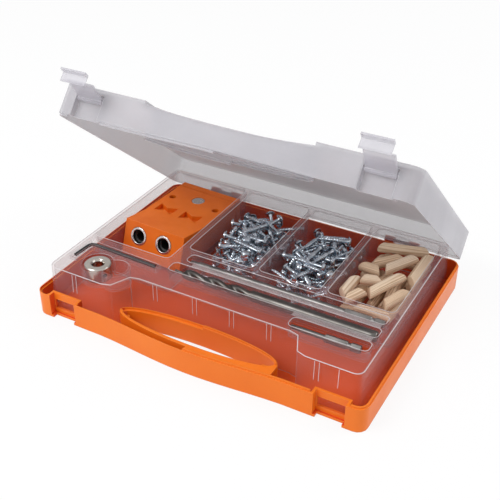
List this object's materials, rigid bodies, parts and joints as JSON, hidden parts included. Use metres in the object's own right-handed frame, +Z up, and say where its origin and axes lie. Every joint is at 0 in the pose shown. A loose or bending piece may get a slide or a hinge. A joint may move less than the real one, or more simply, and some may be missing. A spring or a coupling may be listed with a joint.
{
  "type": "pocket-hole jig kit",
  "caption": "Carry case with clear hinged lid and fitted tray holding an angled drill-guide jig, stop collar, hex key, stepped drill, driver bits, screws and wood plugs.",
  "frame": {"origin": "on the table under the middle of the case base", "axes": "+X to the right along the case, +Y towards the hinge side, +Z up"},
  "size_m": [0.31, 0.2464, 0.2154],
  "materials": {
    "case_plastic": "satin",
    "jig_plastic": "satin",
    "lid_plastic": "frosted",
    "tray_plastic": "clear gloss",
    "bright_steel": "polished",
    "tool_steel": "ground",
    "black_steel": "black oxide",
    "zinc_steel": "bright zinc",
    "plug_wood": "raw"
  },
  "bodies": {
    "case": {"case_base": "case_plastic", "insert_tray": "tray_plastic", "hinge_pin_left": "bright_steel", "hinge_pin_right": "bright_steel", "screws_left": "zinc_steel", "screws_right": "zinc_steel", "plug_01": "plug_wood", "plug_02": "plug_wood", "plug_03": "plug_wood", "plug_04": "plug_wood", "plug_05": "plug_wood", "plug_06": "plug_wood", "plug_07": "plug_wood", "plug_08": "plug_wood", "plug_09": "plug_wood", "plug_10": "plug_wood", "plug_11": "plug_wood"},
    "lid": {"lid": "lid_plastic"},
    "latch_left": {"latch_left": "lid_plastic"},
    "latch_right": {"latch_right": "lid_plastic"},
    "jig": {"jig_body": "jig_plastic", "jig_end_plate": "jig_plastic", "jig_magnet": "bright_steel", "guide_bush_left": "bright_steel", "guide_bush_right": "bright_steel", "jig_screw_left": "black_steel", "jig_screw_right": "black_steel"},
    "stop_collar": {"stop_collar": "bright_steel"},
    "grub_screw": {"collar_grub_screw": "black_steel"},
    "hex_key": {"hex_key": "black_steel"},
    "stepped_drill": {"stepped_drill": "tool_steel"},
    "driver_bit_long": {"driver_bit_long": "tool_steel"},
    "driver_bit_short": {"driver_bit_short": "tool_steel"}
  },
  "joints": [
    {"name": "lid_hinge", "type": "hinge", "parent": "case", "child": "lid", "pos_m": [0, 0.1156, 0.0245], "axis": [-1, 0, 0], "range_deg": [-40.5, 137]},
    {"name": "latch_left_hinge", "type": "hinge", "parent": "lid", "child": "latch_left", "pos_m": [-0.126, -0.04636, 0.18163], "axis": [-1, 0, 0], "range_deg": [-109, 5]},
    {"name": "latch_right_hinge", "type": "hinge", "parent": "lid", "child": "latch_right", "pos_m": [0.126, -0.04636, 0.18163], "axis": [-1, 0, 0], "range_deg": [-116, 5]},
    {"name": "jig_lift", "type": "slide", "parent": "case", "child": "jig", "axis": [0, 0, 1], "range_m": [0, 0.03]},
    {"name": "collar_lift", "type": "slide", "parent": "case", "child": "stop_collar", "axis": [0, 0, 1], "range_m": [0, 0.05]},
    {"name": "hex_key_lift", "type": "slide", "parent": "case", "child": "hex_key", "axis": [0, 0, 1], "range_m": [0, 0.05]},
    {"name": "drill_lift", "type": "slide", "parent": "case", "child": "stepped_drill", "axis": [0, 0, 1], "range_m": [0, 0.05]},
    {"name": "long_bit_lift", "type": "slide", "parent": "case", "child": "driver_bit_long", "axis": [0, 0, 1], "range_m": [0, 0.04]},
    {"name": "short_bit_lift", "type": "slide", "parent": "case", "child": "driver_bit_short", "axis": [0, 0, 1], "range_m": [0, 0.05]},
    {"name": "grub_screw_slide", "type": "slide", "parent": "stop_collar", "child": "grub_screw", "axis": [0.8984, -0.4392, 0], "range_m": [0, 0.002]}
  ]
}
